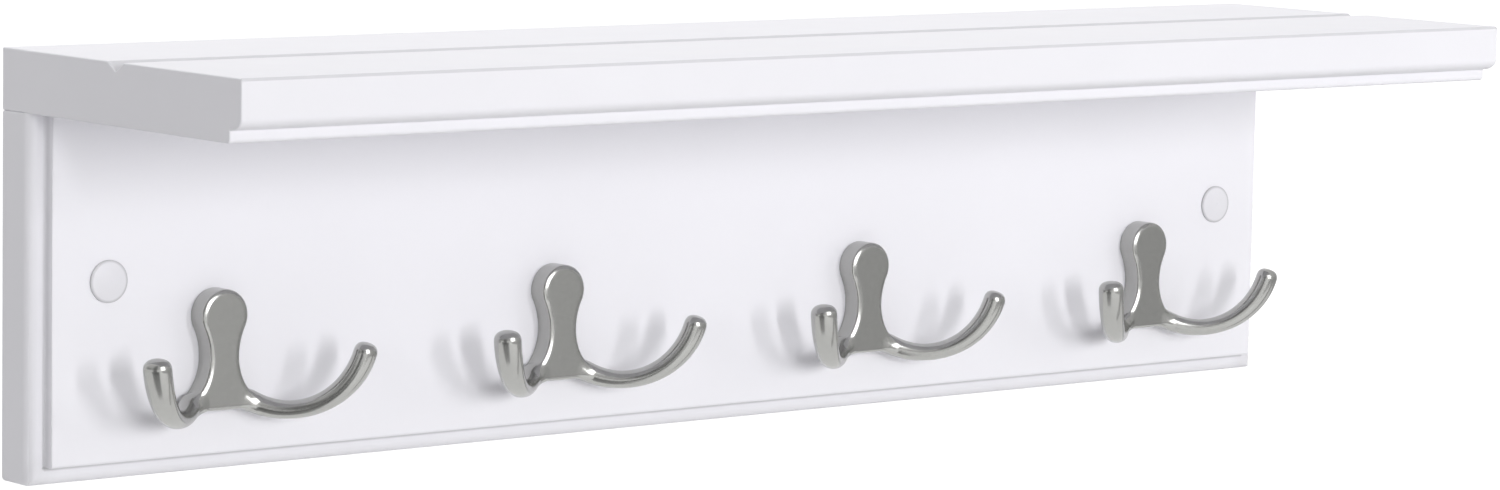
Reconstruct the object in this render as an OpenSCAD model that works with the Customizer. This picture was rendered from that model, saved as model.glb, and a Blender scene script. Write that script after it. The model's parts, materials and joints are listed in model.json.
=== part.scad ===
// Wall hook rack: a moulded shelf board on a panelled back board, with four cast double coat
// hooks held from behind and two press-in caps over the wall screws.
//
// Millimetres. The origin is on the wall, midway between the two wall-screw holes. X runs along
// the rack, Y points into the wall, so the rack stands out towards -Y, and Z is up.

/* [Boards] */
// Length of the shelf board and the back board
rack_length = 610; // [580:1:900]
// Depth of the shelf board from the wall
shelf_depth = 154; // [110:1:220]
// Thickness of the shelf board
shelf_thickness = 22.5; // [20:0.5:32]
// Height of the back board, up to the underside of the shelf
back_board_height = 134; // [110:1:200]
// Thickness of the back board at its raised field
back_board_thickness = 23; // [20:0.5:32]

/* [Shelf moulding] */
// Radius of the top front edge
top_edge_radius = 1.2; // [0.5:0.1:3]
// How far the bottom bead stands back from the front face
bead_setback = 7; // [4:0.1:12]
// Height of the bottom bead
bead_height = 4.6; // [3:0.1:7]
// Height of the round that runs from the front face in to the bead
under_round_height = 4.2; // [2.5:0.1:7]
// Chamfer at the bottom of the bead
bead_chamfer = 0.9; // [0.3:0.1:2]
// Distance of the plate groove's centre from the wall
groove_from_wall = 75; // [30:1:95]
// Width of the plate groove
groove_width = 10.5; // [4:0.5:14]
// Depth of the plate groove
groove_depth = 3.3; // [1:0.1:6]

/* [Back board moulding] */
// Width of the border between the board's edge and its raised field
field_border = 6.8; // [5:0.1:14]
// Height of the step from the border up to the raised field
field_step = 5; // [2:0.1:8]
// Radius of the rounded outer edge of the border
border_radius = 4; // [1:0.1:4.5]
// Radius of the cove at the foot of the step
step_cove = 1.2; // [0.3:0.1:2]
// Radius of the bottom corners as seen from the front
corner_radius = 2; // [0.5:0.1:4]

/* [Wall screw holes] */
// Distance of each wall-screw hole from the end of the rack
wall_hole_inset = 30; // [22:1:60]
// Height of the wall-screw holes above the bottom edge
wall_hole_height = 73; // [60:1:88]
// Diameter of the holes for the wall screws
wall_hole_diameter = 5.5; // [4:0.1:7]
// Diameter of the counterbore that takes the screw head and the cap
wall_counterbore_diameter = 12; // [10:0.1:13]
// Thickness of the board left under the wall screw's head
wall_screw_seat = 9; // [6:0.1:11]

/* [Screw caps] */
// Diameter of a cap's domed head
cap_diameter = 15.5; // [14.5:0.1:20]
// Thickness of the cap's rim
cap_rim = 0.6; // [0.4:0.1:1.5]
// Rise of the dome above the rim
cap_dome = 0.9; // [0.3:0.1:2.5]
// Length of the cap's split stem
cap_stem_length = 6; // [4:0.1:8]
// Wall thickness of the stem
cap_stem_wall = 1.25; // [0.8:0.05:2]
// Width of the slots that split the stem
cap_slot = 1.4; // [0.8:0.1:2.5]

/* [Hook plate] */
// Distance between the centres of two neighbouring hooks
hook_pitch = 153.5; // [110:0.5:163]
// Height of the plate's bottom edge above the back board's bottom edge
hook_height = 24; // [16:0.5:34]
// Thickness of the plate
plate_thickness = 8.8; // [8:0.1:11]
// Radius of the plate's round head
head_radius = 9.8; // [8.4:0.1:12]
// Height of the head's centre above the plate's bottom edge
head_height = 34.4; // [31:0.1:42]
// Half of the plate's width at its waist
waist_half_width = 6.3; // [5:0.1:7.2]
// Height of the waist above the plate's bottom edge
waist_height = 19.3; // [17:0.1:20.5]
// Radius of the hollow sides that spread from the waist to the foot
flare_radius = 20; // [18:0.1:23]
// Half of the plate's width at its foot
foot_half_width = 15.5; // [13:0.1:17]
// Width of the shallow bevel round the front face
plate_bevel = 1.6; // [0.8:0.1:2]
// Depth of that bevel
plate_bevel_depth = 0.8; // [0.4:0.1:1.4]
// Bevel along the bottom edge of the front face
foot_bevel = 1.4; // [0.6:0.1:2.2]

/* [Hook arms] */
// Angle in plan between an arm and the board
arm_splay = 41; // [30:1:50]
// Sideways distance from the plate's middle to the arm's root
arm_root_side = 13.1; // [11:0.1:14]
// Distance of the arm's root in front of the board
arm_root_front = 5.4; // [4.8:0.1:6]
// Radius of the bend that turns the arm out of the plate, in plan
arm_root_bend = 8.5; // [7:0.1:9]
// Radius of the arm's curve
arm_radius = 30; // [24:0.5:36]
// Distance along the arm from its root to its lowest point
arm_low_reach = 12.9; // [11:0.1:16]
// Height of the arm's centre line at its lowest point, from the plate's bottom edge
arm_low_height = -0.8; // [-2:0.1:1]
// Steepness of the arm where it ends in its tip
arm_tip_angle = 73; // [60:1:85]
// Width and thickness of the arm inside the plate
arm_start_size = [5.4, 6.2];
// Width and thickness of the arm where it leaves the plate
arm_root_size = [8.4, 7.6];
// Width and thickness of the arm halfway
arm_middle_size = [8.3, 6.7];
// Width and thickness of the arm at its tip
arm_tip_size = [10.4, 8.8];
// Length of the rounded end beyond the tip's centre
arm_tip_round = 4.2; // [2.5:0.1:5]

/* [Hook screws] */
// Thread diameter of the screws that hold the hooks
hook_screw_diameter = 4; // [3:0.5:5]
// Length of those screws under the head
hook_screw_length = 20; // [18:0.5:22]
// How far they reach into the hook
hook_screw_bite = 5.2; // [3.5:0.1:6]
// Diameter of their pan heads
hook_screw_head_diameter = 8; // [6.5:0.1:9]
// Height of their pan heads
hook_screw_head_height = 2.6; // [1.8:0.1:3.4]
// Height of the lower screw above the plate's bottom edge
lower_screw_height = 9; // [7.5:0.1:11]
// Diameter of the washers
washer_diameter = 9; // [8:0.1:9.6]
// Thickness of the washers
washer_thickness = 0.8; // [0.5:0.1:1.2]
// Diameter of the counterbores behind the hooks
hook_counterbore_diameter = 10; // [9.8:0.1:13]

/* [Shelf joint] */
// Diameter of the dowels between the boards
dowel_diameter = 8; // [6:0.1:9]
// Length of the dowels
dowel_length = 30; // [24:0.5:34]
// How far the dowels reach into the shelf
dowel_in_shelf = 13; // [9:0.5:15]
// Distance of the outer dowels from the ends of the rack
dowel_inset = 60; // [45:1:90]
// Distance of the inner dowels from the middle of the rack
dowel_inner = 76.75; // [50:0.25:110]
// Thread diameter of the screws driven up into the shelf
shelf_screw_diameter = 4; // [3:0.5:4.5]
// Length of those screws under the head
shelf_screw_length = 32; // [28:0.5:34]
// How far they reach into the shelf along their axis
shelf_screw_bite = 14; // [10:0.5:15]
// Diameter of their washer heads
shelf_screw_head_diameter = 8.6; // [7:0.1:9]
// Height of their washer heads
shelf_screw_head_height = 3; // [2:0.1:4]
// Diameter of the pockets that take the heads
pocket_diameter = 9.6; // [9.2:0.1:10.5]
// Lean of the pockets from upright
pocket_angle = 15; // [13:1:18]
// Distance of the outer shelf screws from the middle one
shelf_screw_spacing = 153.5; // [120:0.5:200]

/* [Clearances] */
// Gap round the caps' stems, which slide in their counterbores
cap_fit_clearance = 0.05; // [0.02:0.01:0.1]
// Gap round screw threads and dowels in their holes
pin_clearance = 0.05; // [0.02:0.01:0.1]
// Gap round screw shanks where they only pass through
pass_clearance = 0.25; // [0.1:0.05:0.5]
// Gap beyond the end of a screw or dowel in its hole
end_clearance = 0.8; // [0.4:0.1:1]

/* [Hidden] */
$fn = 64;
// Facets of the large circles that only a shallow dome is cut from
DOME_FN = 360;
// Overlap that takes a cut past the face that it opens
cut_through = 1;
HOOKS = 4;
SIDES = ["left", "right"];
LEVELS = ["lower", "upper"];
DOWELS = 4;
SHELF_SCREWS = 3;

// Heights in the rack's frame
board_bottom = -wall_hole_height;
board_top = board_bottom + back_board_height;
shelf_top = board_top + shelf_thickness;
field_y = -back_board_thickness;
hook_bottom = board_bottom + hook_height;
joint_y = -back_board_thickness / 2;
// The cove fits on the flat of the border
cove = min(step_cove, field_border - border_radius, field_step);

wall_hole_x = rack_length / 2 - wall_hole_inset;
cap_stem_radius = wall_counterbore_diameter / 2 - cap_fit_clearance;
hook_counterbore_depth = back_board_thickness + washer_thickness + hook_screw_bite - hook_screw_length;
hook_screw_seat_y = washer_thickness - hook_counterbore_depth;
pocket_shoulder = shelf_screw_length - shelf_screw_bite;

function hook_x(number) = (number - (HOOKS + 1) / 2) * hook_pitch;
function side_sign(side) = side == "left" ? -1 : 1;
function screw_height(level) = level == "lower" ? lower_screw_height : head_height;
function dowel_x(number) =
    (number < 3 ? -1 : 1) * (number == 1 || number == 4 ? rack_length / 2 - dowel_inset : dowel_inner);
function shelf_screw_x(number) = (number - (SHELF_SCREWS + 1) / 2) * shelf_screw_spacing;

// Extrudes a section drawn in Y and Z along the whole rack.
module along_rack() {
    translate([-rack_length / 2, 0, 0]) rotate([90, 0, 90]) linear_extrude(rack_length) children();
}

// Turns a shape drawn upright on z = 0 so that it points out of the wall.
module facing_out() {
    rotate([90, 0, 0]) children();
}

// ---- Boards ----

// A quarter of an ellipse that fills the corner of a section at the origin, reaching
// depth along -X and height along -Y
module under_round(depth, height) {
    intersection() {
        translate([-depth, -height]) square([depth, height]);
        scale([depth / height, 1]) circle(height);
    }
}

module shelf_section() {
    bead_y = bead_setback - shelf_depth;
    bead_top = board_top + bead_height;
    round_top = bead_top + under_round_height;
    difference() {
        union() {
            // body behind the moulding, with the bead as its front edge
            translate([bead_y, board_top]) square([-bead_y, shelf_thickness]);
            // front face
            translate([-shelf_depth, round_top]) square([bead_setback, shelf_top - round_top - top_edge_radius]);
            translate([top_edge_radius - shelf_depth, round_top])
                square([bead_setback - top_edge_radius, shelf_top - round_top]);
            translate([top_edge_radius - shelf_depth, shelf_top - top_edge_radius]) circle(top_edge_radius);
            // round from the front face in to the bead
            translate([bead_y, round_top]) under_round(bead_setback, under_round_height);
        }
        // chamfer under the bead
        polygon([
            [bead_y - cut_through, board_top - cut_through],
            [bead_y + bead_chamfer + cut_through, board_top - cut_through],
            [bead_y - cut_through, board_top + bead_chamfer + cut_through]
        ]);
        // plate groove
        polygon([
            [-groove_from_wall, shelf_top - groove_depth],
            [-groove_from_wall - groove_width / 2, shelf_top],
            [-groove_from_wall - groove_width / 2, shelf_top + cut_through],
            [-groove_from_wall + groove_width / 2, shelf_top + cut_through],
            [-groove_from_wall + groove_width / 2, shelf_top]
        ]);
    }
}

module shelf_board() {
    color("white") difference() {
        along_rack() shelf_section();
        for (number = [1 : DOWELS]) translate([dowel_x(number), joint_y, board_top - cut_through])
            cylinder(d = dowel_diameter + 2 * pin_clearance, h = dowel_in_shelf + end_clearance + cut_through);
        for (number = [1 : SHELF_SCREWS]) at_shelf_screw(number) translate([0, 0, pocket_shoulder / 2])
            cylinder(
                d = shelf_screw_diameter + 2 * pin_clearance,
                h = shelf_screw_length - pocket_shoulder / 2 + end_clearance
            );
    }
}

// Section of one moulded edge: x runs in from the board's edge and y out from the wall
module moulded_edge_section(width) {
    border_y = back_board_thickness - field_step;
    translate([field_border, 0]) square([width - field_border, back_board_thickness]);
    translate([border_radius, 0]) square([field_border - border_radius, border_y]);
    square([border_radius, border_y - border_radius]);
    translate([border_radius, border_y - border_radius]) circle(border_radius);
    translate([field_border - cove, border_y]) difference() {
        square(cove);
        translate([0, cove]) circle(cove);
    }
}

// Outline of the back board, with its bottom corners rounded
module back_board_outline() {
    translate([-rack_length / 2, board_bottom + corner_radius])
        square([rack_length, back_board_height - corner_radius]);
    translate([corner_radius - rack_length / 2, board_bottom])
        square([rack_length - 2 * corner_radius, corner_radius]);
    for (side = SIDES)
        translate([side_sign(side) * (rack_length / 2 - corner_radius), board_bottom + corner_radius])
            circle(corner_radius);
}

module back_board() {
    color("white") difference() {
        intersection() {
            // bottom edge, running along the rack
            along_rack() translate([0, board_bottom]) rotate(90) moulded_edge_section(back_board_height);
            // both ends
            translate([0, 0, board_bottom]) linear_extrude(back_board_height) for (side = [0, 1])
                mirror([side, 0]) translate([-rack_length / 2, 0]) mirror([0, 1])
                    moulded_edge_section(rack_length / 2 + cut_through);
            facing_out() linear_extrude(back_board_thickness) back_board_outline();
        }
        for (side = SIDES) translate([side_sign(side) * wall_hole_x, 0, 0]) facing_out() {
            translate([0, 0, -cut_through])
                cylinder(d = wall_hole_diameter, h = wall_screw_seat + 2 * cut_through);
            translate([0, 0, wall_screw_seat]) cylinder(
                d = wall_counterbore_diameter,
                h = back_board_thickness - wall_screw_seat + cut_through
            );
        }
        for (number = [1 : HOOKS], level = LEVELS) at_hook_screw(number, level) {
            translate([0, 0, -cut_through])
                cylinder(d = hook_counterbore_diameter, h = hook_counterbore_depth + cut_through);
            cylinder(
                d = hook_screw_diameter + 2 * pass_clearance,
                h = back_board_thickness + cut_through
            );
        }
        for (number = [1 : DOWELS]) translate([dowel_x(number), joint_y, board_top]) mirror([0, 0, 1])
            translate([0, 0, -cut_through]) cylinder(
                d = dowel_diameter + 2 * pin_clearance,
                h = dowel_length - dowel_in_shelf + end_clearance + cut_through
            );
        for (number = [1 : SHELF_SCREWS]) at_shelf_screw(number) {
            cylinder(d = shelf_screw_diameter + 2 * pass_clearance, h = shelf_screw_length);
            mirror([0, 0, 1]) cylinder(d = pocket_diameter, h = back_board_height / 2);
        }
    }
}

// ---- Hooks ----

module at_hook(number) {
    translate([hook_x(number), field_y, hook_bottom]) children();
}

// Upright axis of a hook screw, standing on the wall and pointing out of it
module at_hook_screw(number, level) {
    translate([hook_x(number), 0, hook_bottom + screw_height(level)]) facing_out() children();
}

module bevelled_disc(radius) {
    body = plate_thickness - plate_bevel_depth;
    cylinder(r = radius, h = body);
    translate([0, 0, body]) cylinder(r1 = radius, r2 = radius - plate_bevel, h = plate_bevel_depth);
}

// Cuts a hollow side of the given radius and bevels its front edge.
module bevelled_hollow(radius) {
    body = plate_thickness - plate_bevel_depth;
    translate([0, 0, -cut_through]) cylinder(r = radius, h = body + cut_through);
    translate([0, 0, body]) cylinder(
        r1 = radius,
        r2 = radius + plate_bevel * (1 + cut_through / plate_bevel_depth),
        h = plate_bevel_depth + cut_through
    );
}

// Keyhole-shaped plate: round head, narrow waist and spreading foot. X is across, Y up, Z out.
module hook_plate() {
    head_drop = head_height - waist_height;
    // hollow side that touches the head's circle and is upright at the waist
    neck_radius = (pow(waist_half_width, 2) + pow(head_drop, 2) - pow(head_radius, 2))
        / (2 * (head_radius - waist_half_width));
    // where that hollow meets the head's circle
    neck_top = head_height - head_drop * head_radius / (head_radius + neck_radius);
    translate([0, head_height, 0]) bevelled_disc(head_radius);
    difference() {
        translate([-head_radius, waist_height, 0])
            cube([2 * head_radius, neck_top - waist_height, plate_thickness]);
        for (side = [-1, 1]) translate([side * (waist_half_width + neck_radius), waist_height, 0])
            bevelled_hollow(neck_radius);
    }
    difference() {
        translate([-foot_half_width, 0, 0]) cube([2 * foot_half_width, waist_height, plate_thickness]);
        for (side = [-1, 1]) translate([side * (waist_half_width + flare_radius), waist_height, 0])
            bevelled_hollow(flare_radius);
        // bevel of the bottom edge
        translate([-foot_half_width - cut_through, 0, 0]) rotate([90, 0, 90])
            linear_extrude(2 * (foot_half_width + cut_through)) polygon([
                [-cut_through, plate_thickness - foot_bevel - cut_through],
                [foot_bevel + cut_through, plate_thickness + cut_through],
                [-cut_through, plate_thickness + cut_through]
            ]);
    }
}

ARM_SIDES = 16;
ROOT_STEPS = 4;
ARM_STEPS = 18;
TIP_STEPS = 4;
// Exponent of the arm's section: 2 is an ellipse, more is squarer
SECTION_POWER = 2.1;
// Slope at which the arm leaves the plate
arm_root_slope = -asin(arm_low_reach / arm_radius);
arm_root_height = arm_low_height + arm_radius * (1 - cos(arm_root_slope));
// Radius of the bend that levels the arm inside the plate
arm_levelling_radius = arm_root_bend * arm_splay / -arm_root_slope;
// Share of the arm's length over which it thins out from its root
ROOT_SHARE = 0.3;

function ease(t) = (1 - cos(180 * min(max(t, 0), 1))) / 2;
function between(from, to, t) = from + (to - from) * ease(t);
// Width and thickness of the arm at share t of its length
function arm_size(t) = t < ROOT_SHARE
    ? between(arm_root_size, arm_middle_size, t / ROOT_SHARE)
    : between(arm_middle_size, arm_tip_size, (t - ROOT_SHARE) / (1 - ROOT_SHARE));
function squarish(value) = sign(value) * pow(abs(value), 2 / SECTION_POWER);

// Middle of the arm inside the plate, at share t of its way from level to the root's slope
function arm_middle_inside(t) = [
    arm_root_side - arm_root_bend * (sin(arm_splay) - sin(arm_splay * t)),
    -arm_root_front + arm_root_bend * (cos(arm_splay * t) - cos(arm_splay)),
    arm_root_height + arm_levelling_radius * (cos(arm_root_slope * t) - cos(arm_root_slope))
];
// Middle of the arm outside the plate, where its slope is a
function arm_middle_outside(a) =
    let (along = arm_low_reach + arm_radius * sin(a))
    [
        arm_root_side + along * cos(arm_splay),
        -arm_root_front - along * sin(arm_splay),
        arm_low_height + arm_radius * (1 - cos(a))
    ];

// One ring of the arm's skin, square to its line of heading h in plan and slope a
function arm_ring(middle, h, a, size) = [
    for (k = [0 : ARM_SIDES - 1])
        let (
            turn = 360 * k / ARM_SIDES,
            across = size[0] / 2 * squarish(cos(turn)),
            rise = size[1] / 2 * squarish(sin(turn))
        )
        middle + [
            across * sin(h) - rise * sin(a) * cos(h),
            across * cos(h) + rise * sin(a) * sin(h),
            rise * cos(a)
        ]
];

// Arm that starts level inside the plate, leaves at its lower right corner, dips, and curves
// up to a rounded tip
module hook_arm() {
    tip = arm_middle_outside(arm_tip_angle);
    tip_direction = [
        cos(arm_tip_angle) * cos(arm_splay),
        -cos(arm_tip_angle) * sin(arm_splay),
        sin(arm_tip_angle)
    ];
    rings = concat(
        [
            for (i = [0 : ROOT_STEPS - 1])
                let (t = i / ROOT_STEPS)
                arm_ring(
                    arm_middle_inside(t), arm_splay * t, arm_root_slope * t,
                    between(arm_start_size, arm_root_size, t)
                )
        ],
        [
            for (i = [0 : ARM_STEPS])
                let (t = i / ARM_STEPS, a = arm_root_slope + (arm_tip_angle - arm_root_slope) * t)
                arm_ring(arm_middle_outside(a), arm_splay, a, arm_size(t))
        ],
        [
            for (j = [1 : TIP_STEPS])
                let (turn = 90 * j / (TIP_STEPS + 0.35))
                arm_ring(
                    tip + arm_tip_round * sin(turn) * tip_direction,
                    arm_splay, arm_tip_angle, cos(turn) * arm_tip_size
                )
        ]
    );
    points = [for (ring = rings) each ring];
    last = (len(rings) - 1) * ARM_SIDES;
    polyhedron(points, concat(
        [[for (k = [0 : ARM_SIDES - 1]) k]],
        [[for (k = [ARM_SIDES - 1 : -1 : 0]) last + k]],
        [
            for (i = [0 : len(rings) - 2], k = [0 : ARM_SIDES - 1])
                let (here = i * ARM_SIDES, next = (k + 1) % ARM_SIDES)
                [here + k, here + ARM_SIDES + k, here + ARM_SIDES + next, here + next]
        ]
    ));
}

module coat_hook(number) {
    color("silver") at_hook(number) difference() {
        union() {
            facing_out() hook_plate();
            hook_arm();
            mirror([1, 0, 0]) hook_arm();
        }
        for (level = LEVELS) translate([0, 0, screw_height(level)]) facing_out()
            translate([0, 0, -cut_through]) cylinder(
                d = hook_screw_diameter + 2 * pin_clearance,
                h = hook_screw_bite + end_clearance + cut_through
            );
    }
}

// ---- Fasteners ----

// Low round head below z = 0, with a cross recess open at its top
module screw_head(diameter, height) {
    recess_width = diameter / 8;
    recess_length = diameter * 0.55;
    edge = height / 3;
    dome_radius = (pow(diameter / 2, 2) + pow(height - edge, 2)) / (2 * (height - edge));
    difference() {
        mirror([0, 0, 1]) rotate_extrude() {
            square([diameter / 2, edge]);
            intersection() {
                translate([0, edge]) square([diameter / 2, height - edge]);
                translate([0, height - dome_radius]) circle(dome_radius, $fn = DOME_FN);
            }
        }
        for (turn = [0, 90]) rotate(turn) translate([-recess_length / 2, -recess_width / 2, -height - cut_through])
            cube([recess_length, recess_width, height / 2 + cut_through]);
    }
}

// Shank from z = 0 up, with a short cone at its end
module screw_shank(diameter, length, point) {
    cylinder(d = diameter, h = length - point);
    translate([0, 0, length - point]) cylinder(d1 = diameter, d2 = diameter / 3, h = point);
}

module hook_screw(number, level) {
    color("gainsboro") at_hook_screw(number, level) translate([0, 0, -hook_screw_seat_y]) {
        screw_head(hook_screw_head_diameter, hook_screw_head_height);
        screw_shank(hook_screw_diameter, hook_screw_length, hook_screw_diameter / 6);
    }
}

module hook_washer(number, level) {
    color("gainsboro") at_hook_screw(number, level)
        translate([0, 0, -hook_screw_seat_y]) difference() {
            cylinder(d = washer_diameter, h = washer_thickness);
            translate([0, 0, -cut_through]) cylinder(
                d = hook_screw_diameter + 2 * pass_clearance,
                h = washer_thickness + 2 * cut_through
            );
        }
}

module dowel(number) {
    flutes = 8;
    chamfer = dowel_diameter / 10;
    radius = dowel_diameter / 2;
    color("burlywood") translate([dowel_x(number), joint_y, board_top + dowel_in_shelf - dowel_length])
        difference() {
            union() {
                cylinder(r1 = radius - chamfer, r2 = radius, h = chamfer);
                translate([0, 0, chamfer]) cylinder(r = radius, h = dowel_length - 2 * chamfer);
                translate([0, 0, dowel_length - chamfer]) cylinder(r1 = radius, r2 = radius - chamfer, h = chamfer);
            }
            for (k = [0 : flutes - 1]) rotate(360 * k / flutes) translate([radius + chamfer / 4, 0, -cut_through])
                cylinder(r = chamfer / 2, h = dowel_length + 2 * cut_through);
        }
}

// Axis of a shelf screw: its head bears on z = 0, and z points up into the shelf.
module at_shelf_screw(number) {
    translate([shelf_screw_x(number), joint_y, board_top]) rotate([pocket_angle, 0, 0])
        translate([0, 0, -pocket_shoulder]) children();
}

module shelf_screw(number) {
    color("gainsboro") at_shelf_screw(number) {
        screw_head(shelf_screw_head_diameter, shelf_screw_head_height);
        screw_shank(shelf_screw_diameter, shelf_screw_length, shelf_screw_diameter);
    }
}

// ---- Caps ----

module screw_cap(side) {
    dome_radius = (pow(cap_diameter / 2, 2) + pow(cap_dome, 2)) / (2 * cap_dome);
    color("white") translate([side_sign(side) * wall_hole_x, field_y, 0]) facing_out() {
        rotate_extrude() {
            square([cap_diameter / 2, cap_rim]);
            intersection() {
                translate([0, cap_rim]) square([cap_diameter / 2, cap_dome]);
                translate([0, cap_rim + cap_dome - dome_radius]) circle(dome_radius, $fn = DOME_FN);
            }
        }
        difference() {
            translate([0, 0, -cap_stem_length]) cylinder(r = cap_stem_radius, h = cap_stem_length);
            translate([0, 0, -cap_stem_length - cut_through])
                cylinder(r = cap_stem_radius - cap_stem_wall, h = cap_stem_length + cut_through);
            for (turn = [0, 90]) rotate(turn)
                translate([-cap_stem_radius - cut_through, -cap_slot / 2, -cap_stem_length - cut_through])
                    cube([
                        2 * (cap_stem_radius + cut_through),
                        cap_slot,
                        cap_stem_length + cut_through - cap_stem_wall
                    ]);
        }
    }
}

shelf_board();
back_board();
for (number = [1 : HOOKS]) {
    coat_hook(number);
    for (level = LEVELS) {
        hook_screw(number, level);
        hook_washer(number, level);
    }
}
for (number = [1 : DOWELS]) dowel(number);
for (number = [1 : SHELF_SCREWS]) shelf_screw(number);
for (side = SIDES) screw_cap(side);
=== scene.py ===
"""Looks of the wall hook rack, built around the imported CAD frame.

Everything is in metres in the row frame: X along the rack, Y into the wall, Z up, with the
origin on the wall between the two wall-screw holes. The hooks are worked out in millimetres
in their own frame (across, out of the board, up) and then set on the board.
"""

import json
import math

import bmesh
import bpy
import numpy as np
import openvdb
from mathutils import Matrix, Vector


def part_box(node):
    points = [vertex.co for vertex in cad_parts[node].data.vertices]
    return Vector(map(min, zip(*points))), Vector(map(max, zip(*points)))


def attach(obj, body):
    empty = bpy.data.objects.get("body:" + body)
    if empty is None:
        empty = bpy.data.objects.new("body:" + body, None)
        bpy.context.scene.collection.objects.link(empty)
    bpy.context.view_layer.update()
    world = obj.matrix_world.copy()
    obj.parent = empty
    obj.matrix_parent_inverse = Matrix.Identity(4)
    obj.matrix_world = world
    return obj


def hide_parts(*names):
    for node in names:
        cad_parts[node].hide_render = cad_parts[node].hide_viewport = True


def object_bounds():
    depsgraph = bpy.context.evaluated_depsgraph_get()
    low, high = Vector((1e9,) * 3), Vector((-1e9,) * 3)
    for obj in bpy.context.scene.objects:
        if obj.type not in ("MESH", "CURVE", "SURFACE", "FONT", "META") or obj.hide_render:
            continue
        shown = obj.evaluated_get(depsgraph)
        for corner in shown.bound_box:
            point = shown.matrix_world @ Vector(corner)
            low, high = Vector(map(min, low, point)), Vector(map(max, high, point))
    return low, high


MM = 0.001
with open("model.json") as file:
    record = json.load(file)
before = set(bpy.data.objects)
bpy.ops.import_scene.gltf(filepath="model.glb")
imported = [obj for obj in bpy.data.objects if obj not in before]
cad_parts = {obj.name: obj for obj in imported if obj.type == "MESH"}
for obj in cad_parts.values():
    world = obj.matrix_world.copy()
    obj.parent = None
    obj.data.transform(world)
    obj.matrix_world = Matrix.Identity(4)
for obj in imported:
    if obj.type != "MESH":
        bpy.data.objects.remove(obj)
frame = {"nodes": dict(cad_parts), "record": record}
cad_low, cad_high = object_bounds()
scene = bpy.context.scene


# ---- Camera ----

CAMERA_PLACE = Vector((-1.2405, -1.5756, 0.2206))
CAMERA_YAW = math.radians(39.089)
CAMERA_PITCH = math.radians(6.388)
CAMERA_ROLL = math.radians(1.097)
CAMERA_LENS = 122.42
CAMERA_CLIP_END = 100


def add_camera():
    """The photograph's viewing angle: from the left and a little above."""
    camera = bpy.data.objects.new("camera", bpy.data.cameras.new("camera"))
    scene.collection.objects.link(camera)
    turn = Matrix.Rotation(-CAMERA_YAW, 4, "Z")
    tilt = Matrix.Rotation(math.pi / 2 - CAMERA_PITCH, 4, "X")
    roll = Matrix.Rotation(CAMERA_ROLL, 4, "Z")
    camera.matrix_world = Matrix.Translation(CAMERA_PLACE) @ turn @ tilt @ roll
    camera.data.lens = CAMERA_LENS
    camera.data.clip_end = CAMERA_CLIP_END
    scene.camera = camera


# ---- Studio ----

# The world's light on the object: a level part, and what is added from behind and taken off
# from the front
AMBIENT = 0.6
FROM_BEHIND = 0.34

FLOOR_DROP = 1.2
FLOOR_SIZE = 60
FLOOR_GREY = 0.6
# What the floor glows with in reflections, and what is added to that for the camera
FLOOR_GLOW = 0.5
FLOOR_WHITENING = 0.3

# Degrees to the right of the board's normal and above it, distance, width, height and power
SOFTBOXES = {
    "key": (-12.7, 7, 4.0, 0.24, 1.2, 49.3),
    "second": (11, 10, 4.0, 0.28, 1.2, 28.5),
    "fill": (48, 5, 1.3, 0.6, 0.6, 1.9),
    "overhead": (0, 106, 1.6, 1.0, 1.0, 8.8),
}

# Panels that only reflections see: from and to in degrees to the right, from and to in degrees
# upwards, distance, and the glow at the foot and at the head
CARDS = {
    "wall_foot": ((-14, 125), (-42, -20), 3.2, 1.0, 0.55),
    "wall_middle": ((-14, 125), (-20, 4), 3.2, 0.5, 0.56),
    "wall": ((-125, 125), (4, 60), 3.2, 0.56, 0.8),
    "wall_left": ((-8, 36), (-14, 34), 3.1, 0.69, 0.69),
    "front_glow": ((-48, -10), (-16, 3), 3.0, 1.1, 1.1),
    "softbox_front": ((-23, 11), (2, 42), 2.8, 5.0, 5.0),
    "dark_flag_left": ((-112, -82), (6, 22), 2.9, 0.35, 0.35),
    "dark_flag": ((-70, -50), (5, 60), 2.9, 0.16, 0.3),
    "dark_stand_head": ((-70, -50), (-14, 3), 2.9, 0.2, 0.2),
    "dark_stand": ((-78, -40), (-62, -14), 1.25, 0.5, 0.12),
    "dark_post": ((42, 56), (-60, -14), 1.3, 0.5, 0.5),
}
CARD_COLUMNS = 24
CARD_ROWS = 12


def node_tree(owner):
    """The emptied node tree of a world or a material."""
    owner.use_nodes = True
    tree = owner.node_tree
    tree.nodes.clear()
    return tree


def seen_directly(tree):
    """1 for camera, glossy and transmission rays, 0 for the rest."""
    path = tree.nodes.new("ShaderNodeLightPath")
    seen = path.outputs["Is Camera Ray"]
    for ray in ("Is Transmission Ray", "Is Glossy Ray"):
        either = tree.nodes.new("ShaderNodeMath")
        either.operation = "MAXIMUM"
        tree.links.new(seen, either.inputs[0])
        tree.links.new(path.outputs[ray], either.inputs[1])
        seen = either.outputs[0]
    return seen


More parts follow.
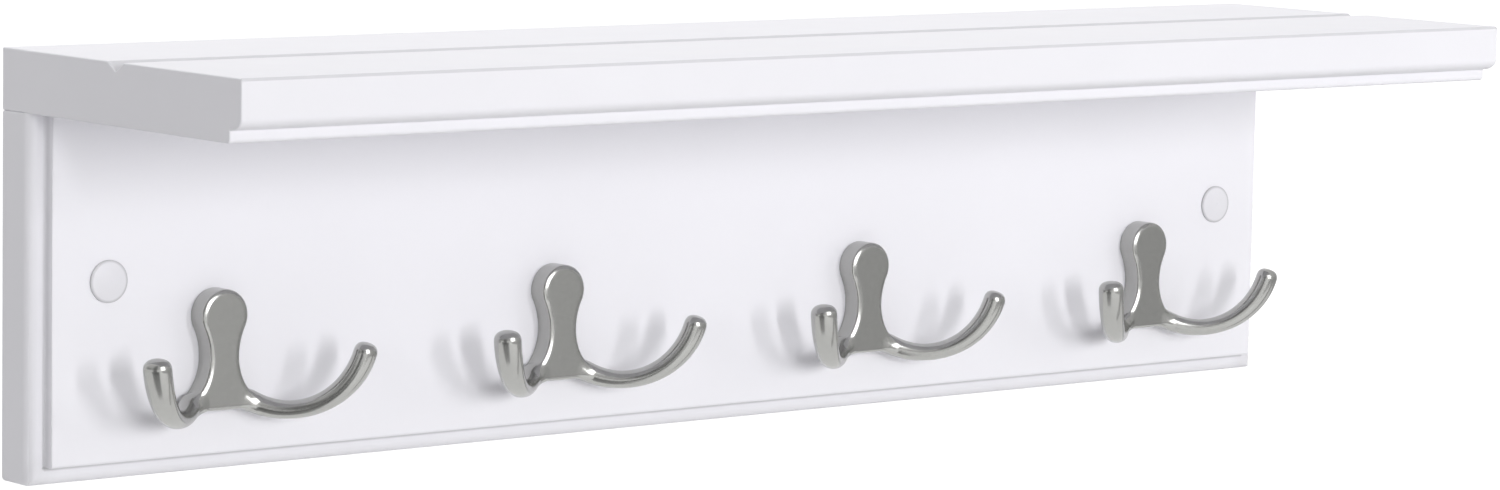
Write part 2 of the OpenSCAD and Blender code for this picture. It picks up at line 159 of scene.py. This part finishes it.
def add_world():
    """White where it is seen directly; a soft light on the object, weaker from the front."""
    world = bpy.data.worlds.new("studio")
    scene.world = world
    tree = node_tree(world)
    direction = tree.nodes.new("ShaderNodeTexCoord")
    axes = tree.nodes.new("ShaderNodeSeparateXYZ")
    tree.links.new(direction.outputs["Generated"], axes.inputs[0])
    soft = tree.nodes.new("ShaderNodeMath")
    soft.operation = "MULTIPLY_ADD"
    tree.links.new(axes.outputs["Y"], soft.inputs[0])
    soft.inputs[1].default_value = FROM_BEHIND
    soft.inputs[2].default_value = AMBIENT
    strength = tree.nodes.new("ShaderNodeMapRange")
    tree.links.new(seen_directly(tree), strength.inputs["Value"])
    tree.links.new(soft.outputs[0], strength.inputs["To Min"])
    strength.inputs["To Max"].default_value = 1.0
    background = tree.nodes.new("ShaderNodeBackground")
    background.inputs["Color"].default_value = (1, 1, 1, 1)
    tree.links.new(strength.outputs["Result"], background.inputs["Strength"])
    output = tree.nodes.new("ShaderNodeOutputWorld")
    tree.links.new(background.outputs[0], output.inputs["Surface"])


def add_floor():
    """A pale floor well below the rack. Camera rays see it lifted to white where it is unshaded."""
    mesh = bpy.data.meshes.new("floor")
    half = FLOOR_SIZE / 2
    corners = [(-half, -half, 0), (half, -half, 0), (half, half, 0), (-half, half, 0)]
    mesh.from_pydata(corners, [], [(0, 1, 2, 3)])
    floor = bpy.data.objects.new("floor", mesh)
    floor.location.z = cad_low[2] - FLOOR_DROP
    scene.collection.objects.link(floor)
    material = bpy.data.materials.new("floor")
    tree = node_tree(material)
    diffuse = tree.nodes.new("ShaderNodeBsdfDiffuse")
    diffuse.inputs["Color"].default_value = (FLOOR_GREY, FLOOR_GREY, FLOOR_GREY, 1)
    lift = tree.nodes.new("ShaderNodeEmission")
    extra = tree.nodes.new("ShaderNodeMath")
    extra.operation = "MULTIPLY_ADD"
    path = tree.nodes.new("ShaderNodeLightPath")
    tree.links.new(path.outputs["Is Camera Ray"], extra.inputs[0])
    extra.inputs[1].default_value = FLOOR_WHITENING
    extra.inputs[2].default_value = FLOOR_GLOW
    tree.links.new(extra.outputs[0], lift.inputs["Strength"])
    both = tree.nodes.new("ShaderNodeAddShader")
    tree.links.new(diffuse.outputs[0], both.inputs[0])
    tree.links.new(lift.outputs[0], both.inputs[1])
    mix = tree.nodes.new("ShaderNodeMixShader")
    tree.links.new(seen_directly(tree), mix.inputs["Fac"])
    tree.links.new(diffuse.outputs[0], mix.inputs[1])
    tree.links.new(both.outputs[0], mix.inputs[2])
    output = tree.nodes.new("ShaderNodeOutputMaterial")
    tree.links.new(mix.outputs[0], output.inputs["Surface"])
    mesh.materials.append(material)


def studio_place(right, up, distance):
    """The place at a distance from the rack's middle on the wall, by its angles in degrees to the
    right of the board's normal and above it."""
    turn, lift = math.radians(right), math.radians(up)
    return Vector((
        distance * math.sin(turn) * math.cos(lift),
        cad_high[1] - distance * math.cos(turn) * math.cos(lift),
        distance * math.sin(lift),
    ))


def add_softbox(name, right, up, distance, width, height, power):
    """An area light that faces the rack's middle."""
    data = bpy.data.lights.new(name, "AREA")
    data.shape = "RECTANGLE"
    data.size = width
    data.size_y = height
    data.energy = power
    light = bpy.data.objects.new(name, data)
    scene.collection.objects.link(light)
    light.location = studio_place(right, up, distance)
    away = light.location - studio_place(0, 0, 0)
    light.rotation_euler = away.to_track_quat("Z", "Y").to_euler()
    light.visible_glossy = False


def add_card(name, right, up, distance, low, high):
    """A curved panel that only shows in reflections, glowing from low at its foot to high at its
    head."""
    verts, faces = [], []
    for row in range(CARD_ROWS + 1):
        lift = up[0] + (up[1] - up[0]) * row / CARD_ROWS
        for column in range(CARD_COLUMNS + 1):
            turn = right[0] + (right[1] - right[0]) * column / CARD_COLUMNS
            verts.append(studio_place(turn, lift, distance))
    above = CARD_COLUMNS + 1
    for row in range(CARD_ROWS):
        for column in range(CARD_COLUMNS):
            corner = row * above + column
            faces.append((corner, corner + 1, corner + above + 1, corner + above))
    mesh = bpy.data.meshes.new(name)
    mesh.from_pydata(verts, [], faces)
    card = bpy.data.objects.new(name, mesh)
    scene.collection.objects.link(card)
    material = bpy.data.materials.new(name)
    tree = node_tree(material)
    place = tree.nodes.new("ShaderNodeTexCoord")
    axes = tree.nodes.new("ShaderNodeSeparateXYZ")
    tree.links.new(place.outputs["Generated"], axes.inputs[0])
    glow = tree.nodes.new("ShaderNodeMapRange")
    glow.inputs["To Min"].default_value = low
    glow.inputs["To Max"].default_value = high
    tree.links.new(axes.outputs["Z"], glow.inputs["Value"])
    emission = tree.nodes.new("ShaderNodeEmission")
    tree.links.new(glow.outputs["Result"], emission.inputs["Strength"])
    output = tree.nodes.new("ShaderNodeOutputMaterial")
    tree.links.new(emission.outputs[0], output.inputs["Surface"])
    mesh.materials.append(material)
    card.visible_camera = False
    card.visible_diffuse = False
    card.visible_transmission = False
    card.visible_volume_scatter = False
    card.visible_shadow = False


def light_studio():
    """A white studio: the world, the floor, the lamps and what the hooks reflect."""
    add_world()
    add_floor()
    for name, softbox in SOFTBOXES.items():
        add_softbox(name, *softbox)
    for name, card in CARDS.items():
        add_card(name, *card)


# ---- Materials ----

SHELF_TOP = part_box("shelf_board")[1].z
_, SHELF_FRONT, SHELF_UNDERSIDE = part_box("shelf_board")[0]
LEFT_END, _, BOARD_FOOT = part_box("back_board")[0]
GROOVE_Y = -0.075
# Flat of the back board's border, and places in from the board's edge
BORDER_FACE = -0.018
BORDER_MIDDLE = 0.0035
BORDER_INNER_SIDE = 0.0068
BORDER_INNER_FOOT = 0.0066
# How far the painted shade line in the step beside the panel stands out from the border
STEP_LINE_OUT = 0.0007
# Where the back board's painted shade lines stop, so that the shelf above stays as it is
LINE_TOP = 0.0602

# How each line of painted shade looks: its reach along x, y and z, the share of lightness left
# on it, and the share of the reach where it starts to fade
# painted shade in the shelf's groove and along its front arris
GROOVE_SHADE = ((0.001, 0.00525, 0.0033), 0.78, 1.0)
ARRIS_SHADE = ((0.001, 0.001, 0.001), 0.8, 1.0)
# painted shade on the border, and painted shadow and shade in the step at the raised panel
BORDER_FOOT_SHADE = ((0.001, 0.0045, 0.009), 0.95, 0.5)
BORDER_SIDE_SHADE = ((0.009, 0.0045, 0.0007), 0.95, 0.5)
STEP_FOOT_SHADOW = ((0.0014, 0.002, 0.0014), 0.74, 0.5)
STEP_SIDE_SHADE = ((0.0014, 0.003, 0.0007), 0.88, 0.3)
# What is added to the share where a line starts to fade, and to the whole reach
FADE_START = 0.02
FADE_END = 0.07


def painted_shade_lines():
    """The start, the end and the look of each line of painted shade in the paint."""
    border = LEFT_END + BORDER_MIDDLE
    border_foot = BOARD_FOOT + BORDER_MIDDLE
    step = LEFT_END + BORDER_INNER_SIDE
    step_foot = BOARD_FOOT + BORDER_INNER_FOOT
    step_out = BORDER_FACE - STEP_LINE_OUT
    along_rack = (
        (LEFT_END, GROOVE_Y, SHELF_TOP, GROOVE_SHADE),
        (LEFT_END, SHELF_FRONT, SHELF_TOP, ARRIS_SHADE),
        (LEFT_END, BORDER_FACE, border_foot, BORDER_FOOT_SHADE),
        (step, BORDER_FACE, step_foot, STEP_FOOT_SHADOW),
    )
    up_sides = (
        (border, BORDER_FACE, BOARD_FOOT, BORDER_SIDE_SHADE),
        (step, step_out, step_foot, STEP_SIDE_SHADE),
    )
    lines = [((x, y, z), (-x, y, z), *look) for x, y, z, look in along_rack]
    for side in (1, -1):
        lines += [
            ((side * x, y, z), (side * x, y, LINE_TOP), *look) for x, y, z, look in up_sides
        ]
    return lines


def principled(name, color, roughness, **sockets):
    """A material with one Principled shader whose constants are set on its own sockets."""
    material = bpy.data.materials.new(name)
    tree = node_tree(material)
    shader = tree.nodes.new("ShaderNodeBsdfPrincipled")
    shader.inputs["Base Color"].default_value = (*color, 1)
    shader.inputs["Roughness"].default_value = roughness
    for socket, value in sockets.items():
        shader.inputs[socket.replace("_", " ")].default_value = value
    output = tree.nodes.new("ShaderNodeOutputMaterial")
    tree.links.new(shader.outputs[0], output.inputs["Surface"])
    return material, tree, shader


def noise(tree, scale, detail, stretch=(1, 1, 1)):
    """Noise in the row frame, with its grain drawn out along an axis by a small stretch there."""
    place = tree.nodes.new("ShaderNodeTexCoord")
    mapping = tree.nodes.new("ShaderNodeMapping")
    mapping.inputs["Scale"].default_value = stretch
    tree.links.new(place.outputs["Object"], mapping.inputs["Vector"])
    texture = tree.nodes.new("ShaderNodeTexNoise")
    texture.inputs["Scale"].default_value = scale
    texture.inputs["Detail"].default_value = detail
    tree.links.new(mapping.outputs["Vector"], texture.inputs["Vector"])
    return texture.outputs["Fac"]


def remapped(tree, value, from_low, from_high, to_low, to_high):
    """Takes a value from one range to another, and holds it at the ends."""
    node = tree.nodes.new("ShaderNodeMapRange")
    node.inputs["From Min"].default_value = from_low
    node.inputs["From Max"].default_value = from_high
    node.inputs["To Min"].default_value = to_low
    node.inputs["To Max"].default_value = to_high
    tree.links.new(value, node.inputs["Value"])
    return node.outputs["Result"]


# The range that most of a noise texture's values lie in
NOISE_LOW = 0.3
NOISE_HIGH = 0.7


def spread(tree, value, low, high):
    """Takes a noise value from its usual range to the range low to high."""
    return remapped(tree, value, NOISE_LOW, NOISE_HIGH, low, high)


def tint(tree, value, dark, light):
    """A colour between dark and light, by a noise value in its usual range."""
    ramp = tree.nodes.new("ShaderNodeValToRGB")
    ramp.color_ramp.elements[0].position = NOISE_LOW
    ramp.color_ramp.elements[0].color = (*dark, 1)
    ramp.color_ramp.elements[1].position = NOISE_HIGH
    ramp.color_ramp.elements[1].color = (*light, 1)
    tree.links.new(value, ramp.inputs["Fac"])
    return ramp.outputs["Color"]


def bump(tree, shader, value, distance):
    """Raises the shader's surface by a value, up to a distance in metres."""
    node = tree.nodes.new("ShaderNodeBump")
    node.inputs["Distance"].default_value = distance
    tree.links.new(value, node.inputs["Height"])
    tree.links.new(node.outputs["Normal"], shader.inputs["Normal"])


def place_through(tree, *steps):
    """The place in the row frame, taken through vector operations with their constants."""
    value = tree.nodes.new("ShaderNodeTexCoord").outputs["Object"]
    for operation, constant in steps:
        node = tree.nodes.new("ShaderNodeVectorMath")
        node.operation = operation
        tree.links.new(value, node.inputs[0])
        if constant:
            node.inputs[1].default_value = constant
        value = node.outputs["Value" if operation in ("DOT_PRODUCT", "LENGTH") else "Vector"]
    return value


def scaled(tree, color, share):
    """A colour times a share that comes from a node."""
    node = tree.nodes.new("ShaderNodeVectorMath")
    node.operation = "SCALE"
    tree.links.new(color, node.inputs[0])
    tree.links.new(share, node.inputs["Scale"])
    return node.outputs["Vector"]


def painted_shade_line(tree, color, start, end, reach, shade, fade):
    """Painted shade that darkens a colour to the given share along a line, in a diamond about it.
    """
    distance = place_through(
        tree,
        ("SUBTRACT", [(a + b) / 2 for a, b in zip(start, end)]),
        ("ABSOLUTE", None),
        ("SUBTRACT", [abs(a - b) / 2 for a, b in zip(start, end)]),
        ("MAXIMUM", (0, 0, 0)),
        ("DOT_PRODUCT", [1 / r for r in reach]),
    )
    return scaled(tree, color, remapped(tree, distance, fade + FADE_START, 1 + FADE_END, shade, 1))


def painted_shade_rim(tree, color, node, width, shade):
    """Painted shade: darkens a colour to the given share at the rim of a round node and its mirror.
    """
    low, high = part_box(node)
    radius = (high.x - low.x) / 2
    distance = place_through(
        tree,
        ("ABSOLUTE", None),
        ("SUBTRACT", (abs(low.x + high.x) / 2, 0, (low.z + high.z) / 2)),
        ("MULTIPLY", (1, 0, 1)),
        ("LENGTH", None),
    )
    return scaled(tree, color, remapped(tree, distance, radius - width, radius, 1, shade))


def painted_board():
    """White satin paint: a faint mottle in its colour and gloss, a very fine orange peel, and
    greyer lines of painted shade on the front arris, in the groove and round the raised panel."""
    material, tree, shader = principled(
        "painted_board", (0.868, 0.861, 0.902), 0.35, Specular_IOR_Level=0.3
    )
    mottle = noise(tree, scale=9, detail=3)
    color = tint(tree, mottle, (0.86, 0.853, 0.894), (0.876, 0.869, 0.91))
    # painted shade laid over the mottled colour along the groove, the arris and the panel's edges
    for line in painted_shade_lines():
        color = painted_shade_line(tree, color, *line)
    tree.links.new(color, shader.inputs["Base Color"])
    gloss = spread(tree, noise(tree, scale=60, detail=3), 0.38, 0.48)
    tree.links.new(gloss, shader.inputs["Roughness"])
    bump(tree, shader, noise(tree, scale=450, detail=2), 0.00002)
    return material


def satin_nickel():
    """Satin nickel plate: grey metal with a soft gloss that varies a little and a tumbled grain."""
    material, tree, shader = principled("satin_nickel", (0.44, 0.44, 0.426), 0.2, Metallic=1.0)
    grain = noise(tree, scale=500, detail=4)
    color = tint(tree, grain, (0.43, 0.43, 0.416), (0.45, 0.45, 0.436))
    tree.links.new(color, shader.inputs["Base Color"])
    gloss = spread(tree, noise(tree, scale=900, detail=3), 0.18, 0.23)
    tree.links.new(gloss, shader.inputs["Roughness"])
    bump(tree, shader, noise(tree, scale=2600, detail=2), 0.000003)
    return material


def zinc_plate():
    """Bright zinc on the screws and washers, with faint stains and a gloss that varies."""
    material, tree, shader = principled("zinc_plate", (0.66, 0.67, 0.69), 0.3, Metallic=1.0)
    stains = noise(tree, scale=500, detail=4)
    color = tint(tree, stains, (0.56, 0.57, 0.6), (0.72, 0.72, 0.73))
    tree.links.new(color, shader.inputs["Base Color"])
    gloss = spread(tree, noise(tree, scale=900, detail=3), 0.24, 0.42)
    tree.links.new(gloss, shader.inputs["Roughness"])
    bump(tree, shader, noise(tree, scale=3000, detail=2), 0.00001)
    return material


def beech():
    """Bare beech dowel with grain along Z."""
    material, tree, shader = principled("beech", (0.6, 0.4, 0.22), 0.6)
    grain = noise(tree, scale=1200, detail=4, stretch=(1, 1, 0.06))
    color = tint(tree, grain, (0.5, 0.31, 0.16), (0.68, 0.47, 0.28))
    tree.links.new(color, shader.inputs["Base Color"])
    bump(tree, shader, noise(tree, scale=1500, detail=2, stretch=(1, 1, 0.05)), 0.00003)
    return material


def cap_plastic():
    """Moulded white plastic with a satin gloss, and painted shade at the rim where it meets the
    board.
    """
    material, tree, shader = principled("cap_plastic", (0.78, 0.773, 0.81), 0.25)
    mottle = noise(tree, scale=90, detail=2)
    color = tint(tree, mottle, (0.77, 0.763, 0.8), (0.79, 0.783, 0.82))
    # painted shade where the cap's rim meets the board
    color = painted_shade_rim(tree, color, "screw_cap_right", width=0.0011, shade=0.62)
    tree.links.new(color, shader.inputs["Base Color"])
    gloss = spread(tree, noise(tree, scale=300, detail=2), 0.32, 0.4)
    tree.links.new(gloss, shader.inputs["Roughness"])
    bump(tree, shader, noise(tree, scale=600, detail=2), 0.000004)
    return material


MATERIALS = {
    "painted_board": painted_board(),
    "satin_nickel": satin_nickel(),
    "zinc_plate": zinc_plate(),
    "beech": beech(),
    "cap_plastic": cap_plastic(),
}
SLOTS = {part["node"]: part["material_slot"] for part in frame["record"]["subparts"]}


def dress(piece, slot):
    """Gives a piece the one material of its slot."""
    piece.data.materials.clear()
    piece.data.materials.append(MATERIALS[slot])


# ---- Boards and caps ----

# The round under the shelf's nose: how deep and how high it is, over the bead below it
NOSE_ROUND_DEPTH = 0.007
NOSE_ROUND_HEIGHT = 0.0042
BEAD_HEIGHT = 0.0046
# Points of the CAD mesh nearer than this are one point
SAME_POINT = 2e-6
# How near a point has to be to a plane of the CAD shape to count as on it
ON_PLANE = 2e-5
OFF_WALL = 1e-5
# Faces flatter to each other than the first angle are merged, edges sharper than the second are
# rounded, and shading breaks at edges sharper than the third
FLAT_ANGLE = math.radians(0.5)
SHARP_ANGLE = math.radians(30)
CREASE_ANGLE = math.radians(40)


def lay_nose_round(shape):
    """Lays the round under the shelf's nose again, in strips that run from end to end. Another
    shape has no points there and stays as it is."""
    low_z = SHELF_UNDERSIDE + BEAD_HEIGHT
    inside = {
        vert
        for vert in shape.verts
        if vert.co.y < SHELF_FRONT + NOSE_ROUND_DEPTH + ON_PLANE
        and low_z - ON_PLANE < vert.co.z < low_z + NOSE_ROUND_HEIGHT + ON_PLANE
    }
    if not inside:
        return
    end = max(vert.co.x for vert in inside)
    left, right = (
        sorted(
            (vert for vert in inside if abs(vert.co.x - side) < ON_PLANE),
            key=lambda vert: (vert.co.z, -vert.co.y),
        )
        for side in (-end, end)
    )
    # the end faces (with a normal along X) stay
    old = [
        face
        for face in shape.faces
        if abs(face.normal.x) < 0.9 and all(vert in inside for vert in face.verts)
    ]
    bmesh.ops.delete(shape, geom=old, context="FACES_ONLY")
    loose = [vert for vert in shape.verts if vert in inside and not vert.link_faces]
    bmesh.ops.delete(shape, geom=loose, context="VERTS")
    for strip in zip(left, left[1:], right[1:], right):
        shape.faces.new(strip)
    bmesh.ops.recalc_face_normals(shape, faces=shape.faces)


def outline_edges(shape, smallest, shortest):
    """The sharp edges over the given length, off the wall, that hang together over more than the
    given size: outlines, but no holes."""
    sharp = {
        edge
        for edge in shape.edges
        if len(edge.link_faces) == 2
        and edge.calc_face_angle(0) > SHARP_ANGLE
        and min(vert.co.y for vert in edge.verts) < -OFF_WALL
    }
    found = []
    while sharp:
        chain = [sharp.pop()]
        for edge in chain:
            for vert in edge.verts:
                for other in vert.link_edges:
                    if other in sharp:
                        sharp.remove(other)
                        chain.append(other)
        places = [vert.co for edge in chain for vert in edge.verts]
        spans = [max(axis) - min(axis) for axis in zip(*places)]
        if max(spans) > smallest:
            found += [edge for edge in chain if edge.calc_length() > shortest]
    return found


def mark_outlines(mesh, smallest, shortest):
    """Joins the mesh's points, cleans its faces where a smallest outline is given, and gives the
    edges to be rounded their bevel weight."""
    shape = bmesh.new()
    shape.from_mesh(mesh)
    bmesh.ops.remove_doubles(shape, verts=shape.verts, dist=SAME_POINT)
    if smallest:
        bmesh.ops.dissolve_limit(
            shape, angle_limit=FLAT_ANGLE, verts=shape.verts, edges=shape.edges
        )
        lay_nose_round(shape)
    weights = shape.edges.layers.float.new("bevel_weight_edge")
    for edge in outline_edges(shape, smallest, shortest):
        edge[weights] = 1.0
    shape.to_mesh(mesh)
    shape.free()
    for face in mesh.polygons:
        face.use_smooth = True


def soft_edged(node, name, width, segments, body="rack", smallest=0.0, shortest=0.0):
    """A copy of a CAD node with its sharp outlines rounded, which stands for the node."""
    mesh = frame["nodes"][node].data.copy()
    mesh.name = name
    piece = bpy.data.objects.new(name, mesh)
    scene.collection.objects.link(piece)
    mark_outlines(mesh, smallest, shortest)
    rounding = piece.modifiers.new("rounding", "BEVEL")
    rounding.width = width
    rounding.segments = segments
    rounding.limit_method = "WEIGHT"
    rounding.use_clamp_overlap = not smallest
    rounding.harden_normals = False
    bpy.context.view_layer.update()
    evaluated = piece.evaluated_get(bpy.context.evaluated_depsgraph_get())
    finished = bpy.data.meshes.new_from_object(evaluated)
    piece.modifiers.clear()
    piece.data = finished
    # a bevel can push a point a hair past the CAD box, so it is held in
    axes = list(zip(*(vert.co for vert in mesh.vertices)))
    low, high = [min(axis) for axis in axes], [max(axis) for axis in axes]
    for vert in finished.vertices:
        vert.co = [min(max(c, a), b) for c, a, b in zip(vert.co, low, high)]
    finished.set_sharp_from_angle(angle=CREASE_ANGLE)
    if smallest:
        flatten = piece.modifiers.new("flat_faces", "WEIGHTED_NORMAL")
        flatten.keep_sharp = True
    dress(piece, SLOTS[node])
    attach(piece, body)
    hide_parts(node)


# ---- Hooks ----

HOOKS = 4
# The cast hook's shape in millimetres: x across from its middle, y out of the board, z up
# from the plate's bottom edge
HEAD_RADIUS = 9.8
HEAD_HEIGHT = 34.4
WAIST_HALF_WIDTH = 6.3
WAIST_HEIGHT = 19.3
FLARE_RADIUS = 20.0
FOOT_HALF_WIDTH = 15.5
PLATE_THICKNESS = 8.8
PLATE_BEVEL = (1.6, 0.8)
BEVEL_ROUNDING = (0.5, 0.2)
FOOT_ROUNDING = 1.4
BACK_ROUNDING = 0.25
ARM_SPLAY = math.radians(41)
ARM_ROOT_SIDE = 13.1
ARM_ROOT_OUT = 5.4
ARM_RADIUS = 30.0
ARM_LOW_REACH = 12.9
ARM_LOW_HEIGHT = -0.8
ARM_TIP_ANGLE = math.radians(73)
ARM_ROOT_SIZE = (8.4, 7.6)
ARM_MIDDLE_SIZE = (8.3, 6.7)
ARM_TIP_SIZE = (10.4, 8.8)
# Length of the rounding beyond the arm's ends, and how square that rounding is
ARM_ROOT_ROUND = 4.0
ARM_TIP_ROUND = 4.2
END_POWER = 2.6
# Share of the arm's length over which it thins out, and how square its section is
ROOT_SHARE = 0.3
SECTION_POWER = 2.1
# Reach of the blend between the plate and an arm
FILLET = 3.2
# The grid that the hook is meshed on: its step, how far it goes across, out and up, and where it
# starts behind the plate and below it
VOXEL = 0.33
GRID_ACROSS = 52.0
GRID_OUT = (-2.0, 42.0)
GRID_UP = (-8.0, 52.0)
# Least size of an arm's section in a division
TINY = 1e-6


def hook_plate_distance(x, y, z):
    """Signed distance to the keyhole plate, with its front edge rounded."""
    drop = HEAD_HEIGHT - WAIST_HEIGHT
    neck = (WAIST_HALF_WIDTH**2 + drop**2 - HEAD_RADIUS**2) / (2 * (HEAD_RADIUS - WAIST_HALF_WIDTH))
    neck_x = WAIST_HALF_WIDTH + neck
    head = np.hypot(x, z - HEAD_HEIGHT) - HEAD_RADIUS
    waist = neck - np.hypot(x - neck_x, z - WAIST_HEIGHT)
    flare = FLARE_RADIUS - np.hypot(x - WAIST_HALF_WIDTH - FLARE_RADIUS, z - WAIST_HEIGHT)
    # the head's circle meets the neck's on the line through both centres
    above = (z - HEAD_HEIGHT) * neck_x + x * drop > 0
    outline = np.where(above, head, np.where(z > WAIST_HEIGHT, waist, flare))
    outline = np.maximum(outline, x - FOOT_HALF_WIDTH)
    lean = math.atan2(PLATE_BEVEL[1], PLATE_BEVEL[0])
    bevel = (outline + PLATE_BEVEL[0]) * math.sin(lean) + (y - PLATE_THICKNESS) * math.cos(lean)
    sides = rounded_corner(outline, bevel, BEVEL_ROUNDING[0])
    front = rounded_corner(sides, y - PLATE_THICKNESS, BEVEL_ROUNDING[1])
    plate = rounded_corner(front, -z, FOOT_ROUNDING)
    return rounded_corner(plate, -y, BACK_ROUNDING)


def rounded_corner(a, b, radius):
    """Intersection of two shapes by their distances, with the corner between them rounded."""
    outer = np.hypot(np.maximum(a + radius, 0), np.maximum(b + radius, 0))
    return np.minimum(np.maximum(a + radius, b + radius), 0) + outer - radius


def ease(t):
    """Goes from 0 to 1 as t does, level at both ends."""
    return (1 - np.cos(np.pi * np.clip(t, 0, 1))) / 2


def arm_size(t, k):
    """Width (k = 0) or thickness (k = 1) of the arm at share t of its length."""
    thinning = ARM_ROOT_SIZE[k] + (ARM_MIDDLE_SIZE[k] - ARM_ROOT_SIZE[k]) * ease(t / ROOT_SHARE)
    growth = (ARM_TIP_SIZE[k] - ARM_MIDDLE_SIZE[k]) * ease((t - ROOT_SHARE) / (1 - ROOT_SHARE))
    return thinning + growth


def hook_arm_distance(x, y, z):
    """Approximate signed distance to the right-hand arm, a squarish rod bent along an arc."""
    along = (x - ARM_ROOT_SIDE) * math.cos(ARM_SPLAY) + (y - ARM_ROOT_OUT) * math.sin(ARM_SPLAY)
    across = (x - ARM_ROOT_SIDE) * math.sin(ARM_SPLAY) - (y - ARM_ROOT_OUT) * math.cos(ARM_SPLAY)
    reach = along - ARM_LOW_REACH
    drop = ARM_LOW_HEIGHT + ARM_RADIUS - z
    root_slope = -math.asin(ARM_LOW_REACH / ARM_RADIUS)
    slope = np.arctan2(reach, drop)
    held = np.clip(slope, root_slope, ARM_TIP_ANGLE)
    # how far past either end, along the arm there, and how high over its middle line
    past = reach * np.cos(held) - drop * np.sin(held)
    rise = ARM_RADIUS - reach * np.sin(held) - drop * np.cos(held)
    past = np.where(held == slope, 0, past)
    rounding = np.where(past > 0, ARM_TIP_ROUND, ARM_ROOT_ROUND)
    t = (held - root_slope) / (ARM_TIP_ANGLE - root_slope)
    section = (
        np.abs(2 * across / arm_size(t, 0)) ** SECTION_POWER
        + np.abs(2 * rise / arm_size(t, 1)) ** SECTION_POWER
    ) ** (1 / SECTION_POWER)
    section = (section**END_POWER + np.abs(past / rounding) ** END_POWER) ** (1 / END_POWER)
    middle = np.sqrt(across**2 + rise**2 + past**2)
    return middle * (1 - 1 / np.maximum(section, TINY))


def blended(a, b, radius):
    """Union of two shapes by their distances, with a fillet between them."""
    near = np.maximum(radius - np.abs(a - b), 0) / radius
    return np.minimum(a, b) - near**2 * radius / 4


def hook_mesh():
    """The cast hook as one smooth mesh, in metres, with its plate's back at y = 0 and facing -Y."""
    across = np.arange(0, GRID_ACROSS, VOXEL)
    # half a step off, so that the plate's back lies between two layers of the grid
    out = np.arange(*GRID_OUT, VOXEL) + VOXEL / 2
    up = np.arange(*GRID_UP, VOXEL)
    x, y, z = np.meshgrid(across, out, up, indexing="ij")
    half = blended(hook_plate_distance(x, y, z), hook_arm_distance(x, y, z), FILLET)
    half = np.maximum(half, -y)
    # the left half is the right one mirrored, without its middle layer
    both = np.concatenate([half[:0:-1], half]).astype(np.float32)
    grid = openvdb.FloatGrid()
    grid.copyFromArray(both)
    points, quads = grid.convertToQuads(0)
    start = np.array([-across[-1], out[0], up[0]])
    points = points * VOXEL + start
    # turning y round turns the faces inside out, so their corners are listed backwards
    points[:, 1] *= -1
    mesh = bpy.data.meshes.new("coat_hook")
    mesh.from_pydata((points * MM).tolist(), [], quads[:, ::-1].tolist())
    mesh.update()
    for face in mesh.polygons:
        face.use_smooth = True
    return mesh


def add_hooks():
    """Sets a cast hook in the place of each CAD hook."""
    cast = hook_mesh()
    for number in range(1, HOOKS + 1):
        low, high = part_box(f"coat_hook_{number}")
        mesh = cast.copy()
        plate_bottom = high.z - (HEAD_HEIGHT + HEAD_RADIUS) * MM
        mesh.transform(Matrix.Translation(((low.x + high.x) / 2, high.y, plate_bottom)))
        hook = bpy.data.objects.new(f"cast_hook_{number}", mesh)
        scene.collection.objects.link(hook)
        dress(hook, "satin_nickel")
        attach(hook, "rack")
        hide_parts(f"coat_hook_{number}")


add_camera()
light_studio()
soft_edged("shelf_board", "moulded_shelf", width=0.0006, segments=3, smallest=0.1)
soft_edged(
    "back_board", "panelled_back", width=0.001, segments=4, smallest=0.1, shortest=0.004
)
for side in ("left", "right"):
    soft_edged(
        f"screw_cap_{side}", f"push_in_cap_{side}", width=0.00015, segments=2, body=f"{side}_cap"
    )
add_hooks()
for node, thing in frame["nodes"].items():
    dress(thing, SLOTS[node])

scene.view_settings.view_transform = "Standard"
